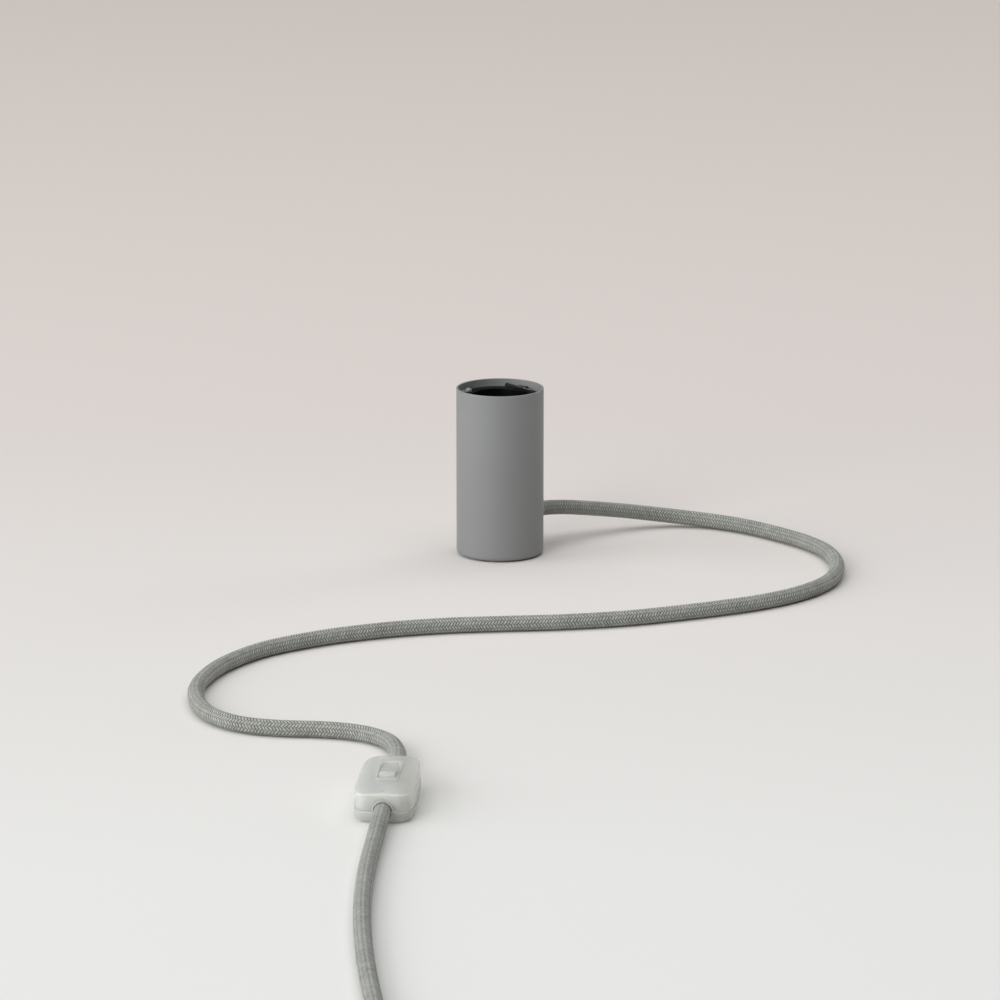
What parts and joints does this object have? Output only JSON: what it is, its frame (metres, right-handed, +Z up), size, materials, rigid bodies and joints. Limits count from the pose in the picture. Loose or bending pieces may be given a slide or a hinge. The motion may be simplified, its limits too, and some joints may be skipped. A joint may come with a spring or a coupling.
{
  "type": "plug-in lamp cord",
  "caption": "Cylinder bulb holder on a braided textile cord with a translucent in-line rocker switch, the spare cord in a coil and a flat mains plug.",
  "frame": {"origin": "centre of the bulb holder's underside, on the floor it stands on", "axes": "+Z up along the holder's axis, out of its mouth; the cord leaves towards +X and +Y and lies towards -Y"},
  "size_m": [0.3086, 0.9431, 0.0837],
  "materials": {
    "sleeve_paint": "matte powder coat",
    "black_plastic": "satin moulded",
    "frosted_plastic": "frosted, translucent",
    "braid": "herringbone braid",
    "steel": "zinc plated",
    "nickel": "nickel plated",
    "bronze": "bare",
    "ballast_iron": "blackened",
    "rubber": "matte",
    "felt": "pressed felt",
    "brown_insulation": "satin",
    "blue_insulation": "satin",
    "strap": "woven strap"
  },
  "bodies": {
    "cord_set": {"sleeve": "sleeve_paint", "foot_pad": "felt", "ballast_weight": "ballast_iron", "base_screw_1": "steel", "base_screw_2": "steel", "holder_bracket": "steel", "bracket_screw": "steel", "holder_screw_1": "steel", "holder_screw_2": "steel", "holder_base": "black_plastic", "holder_skirt": "black_plastic", "screw_shell": "nickel", "centre_contact": "bronze", "side_contact": "bronze", "terminal_live": "bronze", "terminal_screw_live": "bronze", "terminal_neutral": "bronze", "terminal_screw_neutral": "bronze", "retaining_clip_left": "steel", "retaining_clip_right": "steel", "cord_bushing": "rubber", "cord_tail": "braid", "cord_grip_saddle": "black_plastic", "cord_grip_bar": "black_plastic", "cord_grip_screw_1": "steel", "cord_grip_screw_2": "steel", "wire_live": "brown_insulation", "wire_neutral": "blue_insulation", "switch_lower_shell": "frosted_plastic", "switch_upper_shell": "frosted_plastic", "switch_case_screw_1": "steel", "switch_case_screw_2": "steel", "button_pivot_pin": "steel", "switch_cord_grip_lamp": "frosted_plastic", "switch_cord_grip_plug": "frosted_plastic", "switch_terminal_lamp": "bronze", "switch_terminal_plug": "bronze", "switch_terminal_screw_lamp": "steel", "switch_terminal_screw_plug": "steel", "switch_wire_live_lamp": "brown_insulation", "switch_wire_live_plug": "brown_insulation", "switch_wire_neutral": "blue_insulation", "switch_contact_spring": "bronze", "switch_contact_fixed": "bronze", "plug_body": "frosted_plastic", "plug_pin_1": "nickel", "plug_pin_2": "nickel", "plug_pin_sleeve_1": "black_plastic", "plug_pin_sleeve_2": "black_plastic", "plug_strain_relief": "frosted_plastic", "cord_lamp_to_switch": "braid", "cord_switch_to_coil": "braid", "cord_coil_to_plug": "braid", "cord_coil": "braid", "cord_tie": "strap"},
    "button": {"switch_button": "frosted_plastic"}
  },
  "joints": [
    {"name": "button_rock", "type": "hinge", "parent": "cord_set", "child": "button", "pos_m": [-0.04696, -0.43911, 0.0112], "axis": [0.9976, -0.0698, 0], "range_deg": [0, 8]}
  ]
}
